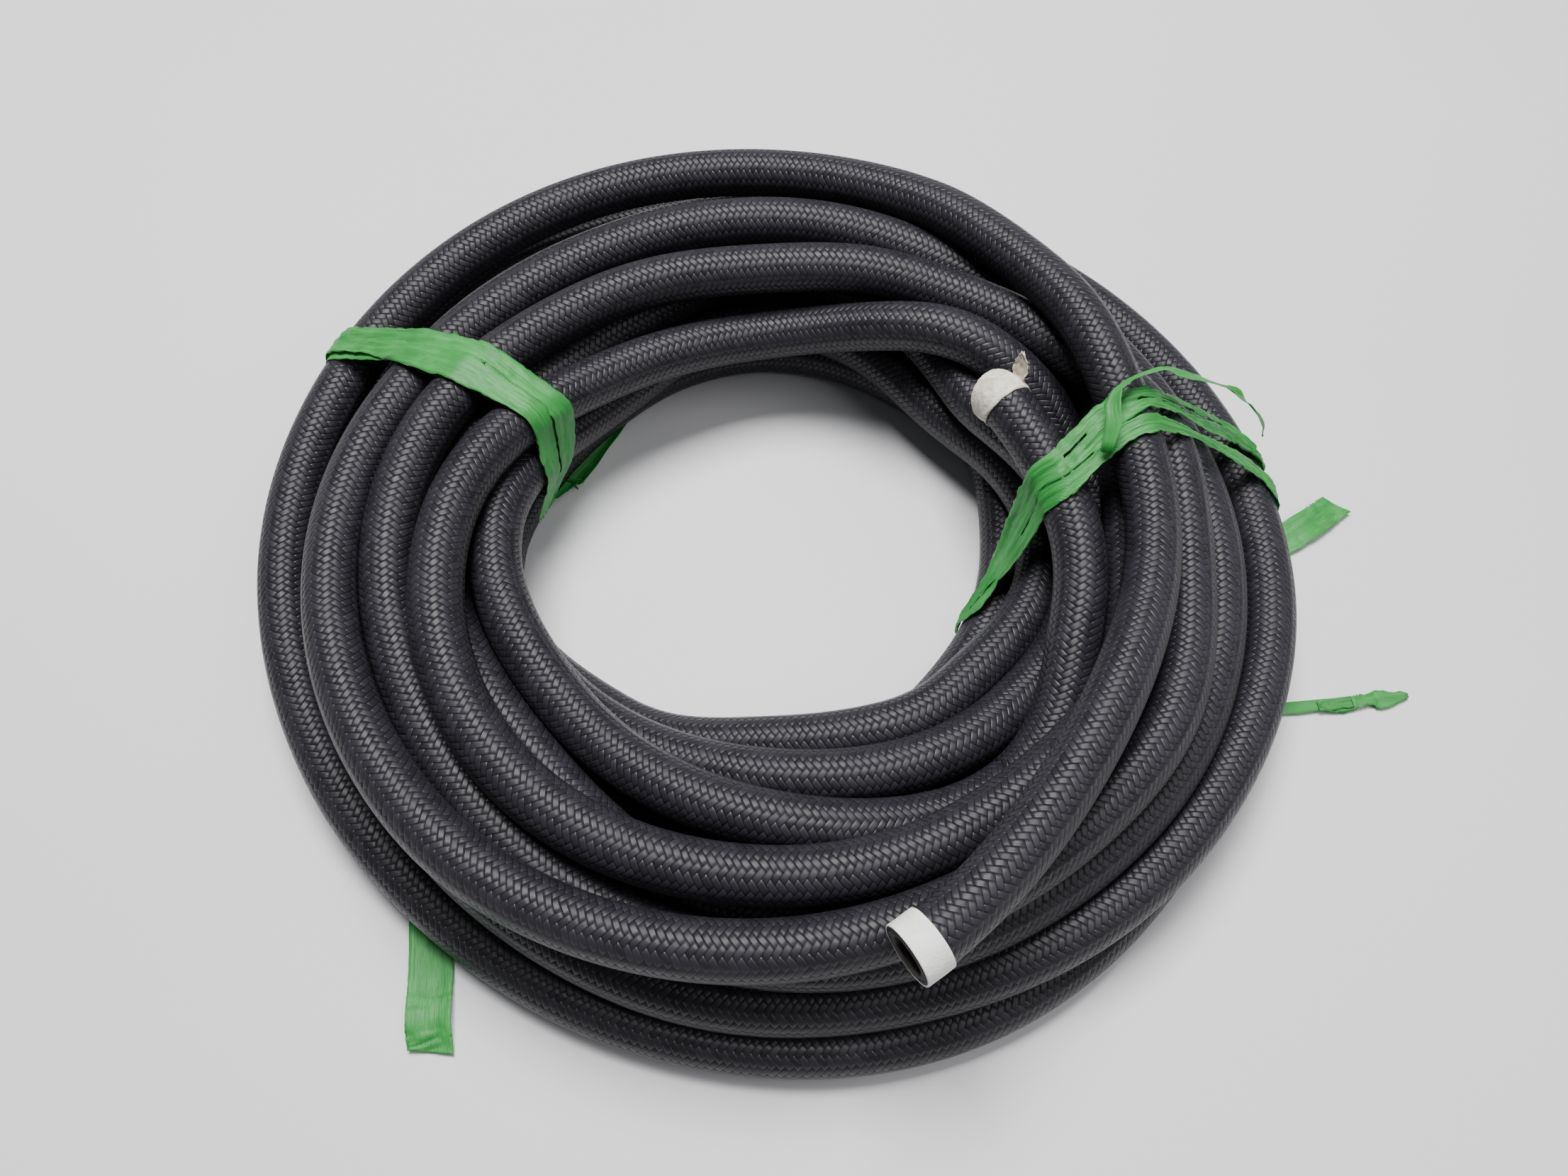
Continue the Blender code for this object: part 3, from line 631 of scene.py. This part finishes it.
def laid_strip(name, edges, columns, node_names, lifts, seed, crumple, ragged, gone=None,
               closed=False):
    """A ribbon laid over the bundle. edges is two or more lines along it, each a list of
    (angle, radius, height) from the outer foot inwards, and columns is the number of columns
    between each two. lifts is how far each line stands off. gone(stop, column) says where the
    film is torn away, and closed carries the ribbon back under the coil."""
    outlines = {}
    edges = np.asarray(edges, float)
    middle = place(*edges.mean(0).T) / D
    rows = []
    for k, stretch in enumerate(np.linalg.norm(np.diff(middle, axis=0), axis=1)):
        count = max(2, math.ceil(stretch / ROW))
        rows += [k + i / count for i in range(count)]
    rows.append(edges.shape[1] - 1.0)
    spots = []
    for k, count in enumerate(columns):
        spots += [(k, j / count) for j in range(count + (k == len(columns) - 1))]
    last = len(spots) - 1
    points, uv, run = [], [], 0.0
    for i, row in enumerate(rows):
        k = min(int(row), edges.shape[1] - 2)
        lines = edges[:, k] + (row - k) * (edges[:, k + 1] - edges[:, k])
        laid = []
        for j, (between, share) in enumerate(spots):
            angle, radius, height = lines[between] + share * (lines[between + 1] - lines[between])
            rim = 1.0 if j in (0, last) else 0.3
            jag = ragged * noise.noise(Vector((i * 0.55, j * 0.2, seed)))
            jag += 0.5 * ragged * noise.noise(Vector((i * 1.9, j * 0.7, seed + 2.0)))
            angle += math.degrees(jag * rim / radius)
            near, face = on_bundle(angle, radius, height, outlines)
            across = j / last
            long_fold = noise.noise(Vector((across * 7.0, i * 0.045, seed + 3.0)))
            cross_fold = noise.noise(Vector((across * 2.5, i * 0.35, seed + 9.0)))
            fine = noise.noise(Vector((across * 21.0, i * 0.16, seed + 17.0)))
            up = lifts[between] + share * (lifts[between + 1] - lifts[between])
            up += crumple * (0.9 * abs(long_fold) + 0.7 * abs(cross_fold) + 0.4 * (fine + 0.5))
            near = near + max(up, 0.006) * face
            laid.append(place(angle, near[0], max(near[1], 0.012)))
        if points:
            run += float(np.linalg.norm(laid[last // 2] - points[-1][last // 2]))
        points.append(laid)
        width = np.linalg.norm(laid[-1] - laid[0])
        uv += [(width * j / last, run) for j in range(last + 1)]
    if closed:
        first, end = np.array(points[0]), np.array(points[-1])
        for i in range(1, UNDER_ROWS):
            laid = end + (first - end) * (i / UNDER_ROWS)
            laid[:, 2] = 0.0003
            run += float(np.linalg.norm(first - end, axis=1).mean()) / UNDER_ROWS
            points.append(list(laid))
            rows.append(rows[-1])
            uv += [(D * j / last, run) for j in range(last + 1)]
    stride = last + 1
    faces = []
    for i in range(len(points) - 1 + int(closed)):
        after = (i + 1) % len(points)
        for j in range(last):
            if gone is None or not gone(rows[i], j):
                faces.append((i * stride + j, i * stride + j + 1,
                              after * stride + j + 1, after * stride + j))
    film = add_film(name, np.array(points).reshape(-1, 3), faces, uv, RIBBON, FILM)
    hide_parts(*node_names)
    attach(film, "coil")
    return film


def spline(points, count):
    """Evenly spaced points on a smooth line through a few."""
    points = np.asarray(points, float)
    key = np.concatenate([[0.0], np.cumsum(np.linalg.norm(np.diff(points, axis=0), axis=1))])
    fine = smooth_through(key, points, np.linspace(0.0, key[-1], 400))
    run = np.concatenate([[0.0], np.cumsum(np.linalg.norm(np.diff(fine, axis=0), axis=1))])
    even = np.linspace(0.0, run[-1], count)
    return np.stack([np.interp(even, run, fine[:, k]) for k in range(points.shape[1])], 1)


FREE_ROW = 0.09             # D between rows of a loose ribbon


def free_strip(name, stations, node_names, across, seed, ripple, ragged, slant=0.0, curl=0.0,
               body="coil", hinge=None):
    """A loose ribbon. stations is (x, y, height, width, lean) along it, in D from the coil's
    centre: lean is how far it stands up on its edge, in degrees. slant cuts its far end askew.
    A ribbon given a hinge is left in the part's frame and not attached to any body."""
    stations = np.asarray(stations, float)
    length = np.linalg.norm(np.diff(stations[:, :3], axis=0), axis=1).sum()
    line = spline(stations, max(8, math.ceil(length / FREE_ROW)))
    ahead = np.gradient(line[:, :3], axis=0)
    ahead /= np.linalg.norm(ahead, axis=1)[:, None]
    flat = np.cross(ahead, [0.0, 0.0, 1.0])
    flat /= np.maximum(np.linalg.norm(flat, axis=1), 1e-6)[:, None]
    face = np.cross(flat, ahead)
    lean = np.radians(line[:, 4])[:, None]
    across_way = np.cos(lean) * flat + np.sin(lean) * face
    normal = np.cross(across_way, ahead)
    count = len(line)
    points, uv = [], []
    for i in range(count):
        near_end = max(0.0, 1 - (count - 1 - i) / 6.0)
        for j in range(across + 1):
            f = 2.0 * j / across - 1.0
            slide = f * slant * near_end
            edge = 1.0 if abs(f) > 0.99 else 0.3
            jag = ragged * edge * noise.noise(Vector((i * 0.6, f * 2.0, seed)))
            wave = noise.noise(Vector((i * 0.11, f * 0.9, seed + 5.0)))
            folds = noise.noise(Vector((i * 0.05, f * 3.4, seed + 8.0)))
            lift = ripple * (abs(wave) + 0.5 * abs(folds)) + curl * f * f * line[i, 3]
            spot = line[i, :3] + across_way[i] * (0.5 * line[i, 3] * f + jag)
            spot = spot + ahead[i] * slide + normal[i] * lift
            spot = spot * D + COIL_CENTRE
            spot[2] = max(spot[2], 0.00015)
            points.append(spot)
            uv.append(((f + 1) * 0.5 * line[i, 3] * D, i * FREE_ROW * D))
    stride = across + 1
    faces = []
    for i in range(count - 1):
        for j in range(across):
            k = i * stride + j
            faces.append((k, k + 1, k + stride + 1, k + stride))
    film = add_film(name, points, faces, uv, RIBBON, FILM)
    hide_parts(*node_names)
    if hinge is None:
        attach(film, body)
    else:
        hinge = np.array([*hinge, 0.05])
        near = np.linalg.norm(line[:, :3] - hinge, axis=1).argmin()
        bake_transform(film)
    return film


# ---------------------------------------------------------------- the left-hand tie
# Lines along the ribbon as it lies, from the outer foot over the top to the inner foot.
LEFT_WRAP = [
    [(153.4, 10.3, .1), (153.2, 10.2, 1.2), (153.0, 10.0, 2.2), (152.8, 9.6, 2.7), (152.0, 8.8, 3.0),
     (151.0, 8.0, 3.3), (150.3, 7.2, 3.5), (150.0, 6.6, 3.6), (149.7, 6.2, 3.6), (149.7, 5.7, 3.5),
     (149.8, 5.3, 3.4), (149.8, 4.9, 3.2), (150.0, 4.7, 2.9), (151.0, 4.6, 2.5), (153.0, 4.6, 2.1),
     (156.0, 4.6, 1.5), (157.5, 4.8, .8), (158.0, 4.9, .1)],
    [(157.6, 10.3, .1), (157.5, 10.2, 1.2), (157.3, 10.0, 2.4), (157.1, 9.5, 2.7), (157.0, 8.8, 3.0),
     (156.8, 8.1, 3.2), (156.6, 7.4, 3.5), (156.0, 6.6, 3.6), (155.6, 6.2, 3.6), (155.2, 5.6, 3.5),
     (155.0, 5.3, 3.4), (155.2, 5.0, 3.3), (156.0, 4.8, 3.0), (157.2, 4.7, 2.6), (158.4, 4.7, 2.2),
     (159.8, 4.7, 1.6), (160.8, 4.8, .8), (161.2, 4.9, .1)],
]
LEFT_FAR = [
    (153.2, 10.3, .1), (153.0, 10.2, 1.2), (152.7, 10.0, 2.2), (152.5, 9.6, 2.7), (151.7, 8.8, 3.0),
    (150.6, 8.0, 3.3), (149.9, 7.2, 3.5), (149.6, 6.6, 3.7), (149.2, 6.2, 3.6), (149.2, 5.7, 3.5),
    (149.3, 5.3, 3.4), (149.2, 4.9, 3.2), (149.2, 4.7, 3.0), (150.2, 4.6, 2.6), (152.4, 4.6, 2.2),
    (155.4, 4.6, 1.7), (158.6, 4.7, 1.2), (161.2, 4.8, .8),
]
LEFT_TEAR = [
    (154.6, 10.3, .1), (154.6, 10.2, 1.2), (154.5, 10.0, 2.3), (154.4, 9.6, 2.7), (153.9, 8.8, 3.0),
    (153.5, 8.1, 3.3), (153.2, 7.2, 3.5), (152.9, 6.5, 3.7), (153.8, 6.1, 3.6), (154.9, 5.6, 3.5),
    (155.3, 5.1, 3.4), (155.3, 4.9, 3.3), (155.9, 4.8, 3.0), (157.4, 4.7, 2.6), (159.2, 4.7, 2.2),
    (161.0, 4.7, 1.7), (162.8, 4.7, 1.2), (164.4, 4.8, .8),
]
LEFT_NEAR = [
    (156.6, 10.3, .1), (156.7, 10.2, 1.2), (156.6, 10.0, 2.4), (156.4, 9.4, 2.8), (156.4, 8.9, 3.0),
    (157.1, 8.2, 3.2), (158.0, 7.4, 3.5), (158.8, 6.6, 3.7), (158.9, 6.1, 3.6), (159.3, 5.6, 3.5),
    (159.7, 5.3, 3.5), (160.4, 5.0, 3.4), (161.5, 4.9, 3.0), (163.4, 4.8, 2.7), (165.4, 4.8, 2.3),
    (167.2, 4.8, 1.8), (168.6, 4.8, 1.3), (169.0, 4.9, .8),
]
SPLIT_COLUMNS = (10, 1, 10)


def left_gone(stop, column):
    """The tear between the upper layer's two halves, and its ragged inner ends."""
    if column == SPLIT_COLUMNS[0]:
        return stop > 7.4
    if stop < 16.2:
        return False
    far_end = stop > 16.2 + 0.25 * (column % 3)
    return far_end if column < SPLIT_COLUMNS[0] else stop > 17.0 - 0.1 * ((column * 7) % 5)


def build_left_tie():
    wrap = laid_strip("ribbon_left_wrap", LEFT_WRAP, (16,), ["tie_left_wrap"], (0.008, 0.008),
                      seed=1.0, crumple=0.03, ragged=0.025, closed=True)
    far_side, near_side = [], []
    for k, (angle, radius, height) in enumerate(LEFT_TEAR):
        lap = 0.0 if k < 8 else 0.9 if k < 12 else -0.7
        far_side.append((angle - (0.0 if k < 12 else 0.6), radius, height))
        near_side.append((angle - lap, radius, height))
    upper = laid_strip("ribbon_left_upper", [LEFT_FAR, far_side, near_side, LEFT_NEAR],
                       SPLIT_COLUMNS, ["tie_left_outer_layer"], (0.05, 0.045, 0.075, 0.055),
                       seed=21.0, crumple=0.07, ragged=0.035, gone=left_gone)
    free_strip(
        "ribbon_left_inner_tail",
        [(-4.70, 1.80, 0.40, 0.16, 0), (-4.42, 2.30, 0.22, 0.40, 4), (-4.05, 2.90, 0.10, 0.50, 8),
         (-3.68, 3.50, 0.08, 0.38, 8), (-3.42, 4.05, 0.14, 0.05, 4)],
        ["tie_left_tail_inside"], across=8, seed=31.0, ripple=0.06, ragged=0.05, curl=0.25)
    tail = free_strip(
        "ribbon_left_long_tail",
        [(-7.42, 2.35, 0.02, 0.75, 0), (-6.76, -2.80, 0.02, 0.80, 0), (-6.10, -7.95, 0.05, 0.80, 0),
         (-6.03, -8.60, 0.16, 0.80, -2), (-5.93, -9.20, 0.05, 0.78, 1)],
        ["tie_left_tail_under", "tie_left_tail_front"], across=12, seed=41.0, ripple=0.05,
        slant=-0.10, ragged=0.02, curl=0.05, body="front_tail", hinge=(-6.10, -7.95))


# ---------------------------------------------------------------- the right-hand tie
# The far and the near edge of each strip, listed as for the left-hand tie.
RIGHT_REAR = [
    [(372.5, 10.2, .1), (373.0, 10.3, .9), (373.4, 10.2, 1.7), (375.2, 9.7, 2.1), (375.7, 8.9, 2.8),
     (376.1, 8.1, 3.4), (375.7, 7.5, 4.0), (375.3, 6.8, 4.4), (375.4, 6.4, 4.3), (374.2, 6.0, 4.1),
     (371.3, 5.5, 3.9), (367.4, 5.0, 3.2), (365.3, 4.8, 2.2), (359.7, 4.4, 1.3), (351.3, 4.1, .8),
     (342.3, 4.0, .5), (340.5, 4.1, .1)],
    [(369.6, 10.2, .1), (370.2, 10.3, .9), (371.0, 10.2, 1.7), (371.8, 9.8, 2.0), (372.3, 9.2, 2.5),
     (372.1, 8.4, 3.2), (372.6, 7.7, 3.7), (372.2, 7.0, 4.2), (370.5, 6.6, 4.2), (368.5, 6.1, 4.0),
     (364.5, 5.6, 3.7), (360.5, 5.2, 3.0), (357.0, 4.9, 2.2), (352.0, 4.6, 1.4), (347.0, 4.3, .8),
     (341.5, 4.1, .4), (340.2, 4.1, .1)],
]
RIGHT_FRONT = [
    [(367.6, 10.2, .1), (368.2, 10.3, .9), (369.1, 10.2, 1.8), (370.3, 9.7, 2.1), (370.7, 8.9, 2.8),
     (370.5, 8.1, 3.4), (371.0, 7.5, 3.9), (371.0, 6.9, 4.2), (370.4, 6.5, 4.2), (368.9, 6.1, 4.0),
     (366.5, 5.7, 3.8), (363.0, 5.2, 3.1), (360.0, 4.9, 2.3), (355.5, 4.5, 1.4), (349.0, 4.2, .8),
     (342.6, 4.1, .5), (340.8, 4.1, .1)],
    [(364.6, 10.2, .1), (365.2, 10.3, 1.0), (366.2, 10.2, 1.8), (368.0, 9.9, 1.9), (368.6, 9.2, 2.4),
     (369.3, 8.5, 3.1), (369.4, 7.8, 3.6), (368.4, 7.1, 4.1), (367.3, 6.5, 4.1), (364.3, 6.0, 3.8),
     (359.8, 5.5, 3.5), (357.0, 5.2, 2.9), (353.7, 4.9, 2.2), (350.6, 4.5, 1.5), (344.5, 4.3, 1.1),
     (342.0, 4.1, .6), (340.2, 4.1, .1)],
]


def rear_gone(stop, column):
    """Cracks along the rear strip."""
    return (column == 6 and 3.1 < stop < 6.2) or (column == 9 and 4.6 < stop < 7.1) or (
        column == 7 and 9.3 < stop < 10.3)


def front_gone(stop, column):
    """A short tear near the far edge where the strips part."""
    return (column == 3 and 9.4 < stop < 10.8) or (column == 6 and 11.1 < stop < 11.8)


def build_right_tie():
    rear = laid_strip("ribbon_right_rear", RIGHT_REAR, (18,), ["tie_right_rear_arm"], (0.03, 0.02),
                      seed=51.0, crumple=0.10, ragged=0.05, gone=rear_gone)
    laid_strip("ribbon_right_front", RIGHT_FRONT, (16,),
               ["tie_right_front_arm", "tie_right_band"], (0.07, 0.04), seed=61.0, crumple=0.05,
               ragged=0.04, gone=front_gone)
    free_strip(
        "ribbon_right_loop",
        [(5.98, 0.55, 4.16, 0.20, 10), (6.10, 0.95, 4.42, 0.28, 20), (6.12, 1.35, 4.55, 0.30, 35),
         (6.35, 1.72, 4.66, 0.22, 50), (6.85, 1.98, 4.62, 0.18, 40), (7.55, 2.18, 4.30, 0.24, 10),
         (8.45, 2.36, 3.75, 0.20, 35), (8.95, 2.38, 3.42, 0.26, 0), (9.25, 2.33, 3.15, 0.24, 40),
         (9.58, 2.22, 2.80, 0.20, 10), (9.72, 2.08, 2.45, 0.06, 60)],
        ["tie_right_loop"], across=5, seed=71.0, ripple=0.035, ragged=0.035, curl=0.1)
    free_strip(
        "ribbon_right_thin_tail",
        [(4.60, -3.35, 0.02, 0.26, 0), (7.40, -3.07, 0.02, 0.26, 0), (10.25, -2.78, 0.06, 0.24, 0),
         (10.80, -2.76, 0.10, 0.22, 10), (11.35, -2.72, 0.05, 0.30, -6), (11.90, -2.60, 0.09, 0.26, 10),
         (12.35, -2.56, 0.05, 0.32, 2), (12.70, -2.50, 0.07, 0.10, 0)],
        ["tie_right_thin_under", "tie_right_thin_tail"], across=6, seed=81.0, ripple=0.06,
        ragged=0.05, body="thin_tail", hinge=(10.25, -2.78))
    wide = free_strip(
        "ribbon_right_wide_tail",
        [(4.73, -1.00, 0.02, 0.60, 0), (6.90, -0.30, 0.02, 0.62, 0), (10.46, 0.86, 0.04, 0.66, 0),
         (11.30, 1.30, 0.12, 0.66, -3), (12.20, 1.93, 0.05, 0.62, 2)],
        ["tie_right_under", "tie_right_wide_tail"], across=12, seed=91.0, ripple=0.05,
        slant=0.10, ragged=0.03, curl=0.05, body="wide_tail", hinge=(10.46, 0.86))


# ---------------------------------------------------------------- the torn tag of the inner tape
def build_tag(line):
    """The corner of paper tape that stands up off the inner end, torn and creased."""
    middle, side, up = line.frame(line.length - 0.55 * TAPE_LENGTH)
    ahead = line.ahead[-1]
    foot = middle + (0.75 * side + 0.66 * up) * (0.5 * D + 0.0005)
    rise = 0.35 * side + 0.94 * up
    rise /= np.linalg.norm(rise)
    out = np.cross(rise, ahead)
    across, rows = 8, 18
    points, uv, faces = [], [], []
    for i in range(rows):
        t = i / (rows - 1)
        half = 0.0034 * (1 - t) ** 0.35 + 0.0008 * math.sin(math.pi * t) + 0.0003
        lean = 0.0022 * t * t
        for j in range(across + 1):
            f = 2.0 * j / across - 1.0
            edge = 0.0007 * noise.noise(Vector((t * 9.0, f * 2.0, 3.0))) * (abs(f) > 0.9)
            crease = 0.0011 * noise.noise(Vector((t * 4.0, f * 2.2, 7.0)))
            fine = 0.0004 * noise.noise(Vector((t * 16.0, f * 7.0, 9.0)))
            top = 0.0018 * noise.noise(Vector((f * 2.6, 5.0, 1.0))) * t
            spot = foot + rise * (0.0098 * t - 0.0006 + top) + ahead * (half * f + edge)
            points.append(spot + out * (crease + fine + lean))
            uv.append((f * half, 0.0098 * t))
    for i in range(rows - 1):
        for j in range(across):
            k = i * (across + 1) + j
            faces.append((k, k + 1, k + across + 2, k + across + 1))
    tag = add_film("inner_tape_tag_paper", points, faces, uv, CRUMPLED_TAPE, 0.00022)
    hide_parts("inner_tape_tag")
    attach(tag, "inner_end")


# ---------------------------------------------------------------- put together
def build_hose():
    build_turns()
    cover, rubber, line = build_end("outer_end", OUTER_SEAM, START_ANGLE)
    band = build_tape("outer_end", "outer_end_tape", line, SMOOTH_TAPE, smooth_band, 0.0)
    cover, rubber, line = build_end("inner_end", INNER_SEAM, END_ANGLE)
    band = build_tape("inner_end", "inner_end_tape", line, CRUMPLED_TAPE, crumpled_band, 0.0006)
    build_tag(line)


def add_floor():
    mesh = bpy.data.meshes.new("floor")
    reach = 3.0
    mesh.from_pydata([(-reach, -reach, 0), (reach, -reach, 0), (reach, reach, 0), (-reach, reach, 0)],
                     [], [(0, 1, 2, 3)])
    mesh.materials.append(floor_material())
    made = bpy.data.objects.new("floor", mesh)
    bpy.context.collection.objects.link(made)


def add_light(name, location, power, size):
    """A square soft light that faces the coil."""
    data = bpy.data.lights.new(name, "AREA")
    data.energy = power
    data.size = size
    made = bpy.data.objects.new(name, data)
    made.location = location
    made.rotation_euler = (-Vector(location)).to_track_quat("-Z", "Y").to_euler()
    bpy.context.collection.objects.link(made)


def add_lighting():
    world = bpy.data.worlds.new("studio")
    world.use_nodes = True
    background = world.node_tree.nodes["Background"]
    background.inputs["Color"].default_value = (0.93, 0.94, 1.0, 1.0)
    background.inputs["Strength"].default_value = 0.12
    bpy.context.scene.world = world
    add_light("key", (-0.12, 0.42, 1.35), 46.0, 0.65)
    add_light("fill", (0.8, -0.3, 1.2), 8.0, 0.9)


add_camera()
build_hose()
build_left_tie()
build_right_tie()
add_floor()
add_lighting()
